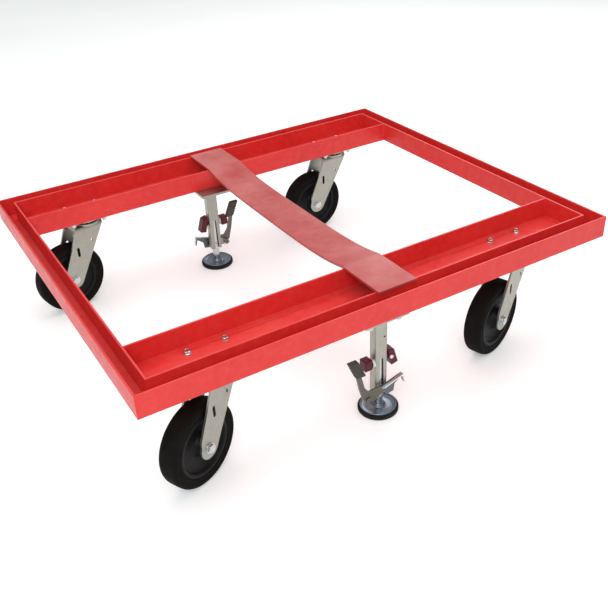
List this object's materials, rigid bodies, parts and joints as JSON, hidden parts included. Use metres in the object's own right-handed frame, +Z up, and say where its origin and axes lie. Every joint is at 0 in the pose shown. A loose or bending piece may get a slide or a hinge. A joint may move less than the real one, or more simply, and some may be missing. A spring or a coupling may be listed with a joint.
{
  "type": "wheel dolly",
  "caption": "Low wheeled dolly: an open welded steel frame with a slightly sagging middle strap, on swivel casters, held still by pedal floor locks.",
  "frame": {"origin": "on the floor, below the middle of the frame", "axes": "+X along the frame's long side, +Y towards the rear long side, +Z up"},
  "size_m": [1.2192, 1.0232, 0.326],
  "materials": {
    "powder_red": "satin powder coat",
    "strap_red": "satin powder coat with a pinkish sheen",
    "zinc": "zinc plated, lightly dulled",
    "bright_zinc": "bright zinc plated",
    "steel": "plain steel",
    "tyre": "black rubber",
    "core": "black nylon",
    "rubber": "black rubber",
    "maroon": "maroon urethane",
    "grey_rubber": "grey ribbed rubber",
    "bush": "black nylon"
  },
  "bodies": {
    "frame": {"front_rail": "powder_red", "rear_rail": "powder_red", "left_rail": "powder_red", "right_rail": "powder_red", "front_channel": "powder_red", "rear_channel": "powder_red", "centre_strap": "strap_red", "plate_bolts": "bright_zinc", "plate_nuts": "bright_zinc", "kingpins": "steel", "kingpin_nuts": "steel", "lock_bushes": "bush", "rocker_pins": "zinc", "lock_bumpers": "maroon", "front_left_plate": "zinc", "front_right_plate": "zinc", "rear_left_plate": "zinc", "rear_right_plate": "zinc", "front_lock_plate": "zinc", "front_lock_tube": "zinc", "front_lock_spring": "steel", "rear_lock_plate": "zinc", "rear_lock_tube": "zinc", "rear_lock_spring": "steel"},
    "front_left_swivel": {"front_left_balls": "steel", "front_left_fork": "zinc", "front_left_axle_bolt": "zinc", "front_left_axle_nut": "zinc"},
    "front_left_wheel": {"front_left_wheel_core": "core", "front_left_tyre": "tyre"},
    "front_right_swivel": {"front_right_balls": "steel", "front_right_fork": "zinc", "front_right_axle_bolt": "zinc", "front_right_axle_nut": "zinc"},
    "front_right_wheel": {"front_right_wheel_core": "core", "front_right_tyre": "tyre"},
    "rear_left_swivel": {"rear_left_balls": "steel", "rear_left_fork": "zinc", "rear_left_axle_bolt": "zinc", "rear_left_axle_nut": "zinc"},
    "rear_left_wheel": {"rear_left_wheel_core": "core", "rear_left_tyre": "tyre"},
    "rear_right_swivel": {"rear_right_balls": "steel", "rear_right_fork": "zinc", "rear_right_axle_bolt": "zinc", "rear_right_axle_nut": "zinc"},
    "rear_right_wheel": {"rear_right_wheel_core": "core", "rear_right_tyre": "tyre"},
    "front_lock_foot": {"front_lock_plunger": "bright_zinc", "front_lock_drive_pin": "zinc", "front_lock_foot_cup": "bright_zinc", "front_lock_foot_pad": "rubber"},
    "front_lock_rocker": {"front_lock_rocker": "zinc", "front_lock_pedal_pad": "grey_rubber"},
    "rear_lock_foot": {"rear_lock_plunger": "bright_zinc", "rear_lock_drive_pin": "zinc", "rear_lock_foot_cup": "bright_zinc", "rear_lock_foot_pad": "rubber"},
    "rear_lock_rocker": {"rear_lock_rocker": "zinc", "rear_lock_pedal_pad": "grey_rubber"}
  },
  "joints": [
    {"name": "front_left_swivel_turn", "type": "hinge", "parent": "frame", "child": "front_left_swivel", "pos_m": [-0.4064, -0.408, 0.24], "axis": [0, 0, 1], "continuous": true},
    {"name": "front_left_wheel_spin", "type": "hinge", "parent": "front_left_swivel", "child": "front_left_wheel", "pos_m": [-0.47999, -0.44185, 0.097], "axis": [-0.4179, 0.9085, 0], "continuous": true},
    {"name": "front_right_swivel_turn", "type": "hinge", "parent": "frame", "child": "front_right_swivel", "pos_m": [0.4064, -0.408, 0.24], "axis": [0, 0, 1], "continuous": true},
    {"name": "front_right_wheel_spin", "type": "hinge", "parent": "front_right_swivel", "child": "front_right_wheel", "pos_m": [0.32941, -0.43317, 0.097], "axis": [-0.3107, 0.9505, 0], "continuous": true},
    {"name": "rear_left_swivel_turn", "type": "hinge", "parent": "frame", "child": "rear_left_swivel", "pos_m": [-0.4064, 0.408, 0.24], "axis": [0, 0, 1], "continuous": true},
    {"name": "rear_left_wheel_spin", "type": "hinge", "parent": "rear_left_swivel", "child": "rear_left_wheel", "pos_m": [-0.48589, 0.39241, 0.097], "axis": [-0.1925, 0.9813, 0], "continuous": true},
    {"name": "rear_right_swivel_turn", "type": "hinge", "parent": "frame", "child": "rear_right_swivel", "pos_m": [0.4064, 0.408, 0.24], "axis": [0, 0, 1], "continuous": true},
    {"name": "rear_right_wheel_spin", "type": "hinge", "parent": "rear_right_swivel", "child": "rear_right_wheel", "pos_m": [0.32547, 0.40475, 0.097], "axis": [-0.0401, 0.9992, 0], "continuous": true},
    {"name": "front_lock_foot_slide", "type": "slide", "parent": "frame", "child": "front_lock_foot", "axis": [0, 0, 1], "range_m": [0, 0.016], "deforming": ["front_lock_spring"]},
    {"name": "front_lock_rocker_turn", "type": "hinge", "parent": "frame", "child": "front_lock_rocker", "pos_m": [-0.0826, -0.4674, 0.058], "axis": [0, -1, 0], "range_deg": [0, 16.9]},
    {"name": "rear_lock_foot_slide", "type": "slide", "parent": "frame", "child": "rear_lock_foot", "axis": [0, 0, 1], "range_m": [0, 0.016], "deforming": ["rear_lock_spring"]},
    {"name": "rear_lock_rocker_turn", "type": "hinge", "parent": "frame", "child": "rear_lock_rocker", "pos_m": [0.0014, 0.3785, 0.058], "axis": [0, 1, 0], "range_deg": [0, 16.9]}
  ],
  "couplings": [
    {"joint": "front_lock_rocker_turn", "follows": "front_lock_foot_slide", "rad_per_m": 18.303},
    {"joint": "rear_lock_rocker_turn", "follows": "rear_lock_foot_slide", "rad_per_m": 18.303}
  ]
}
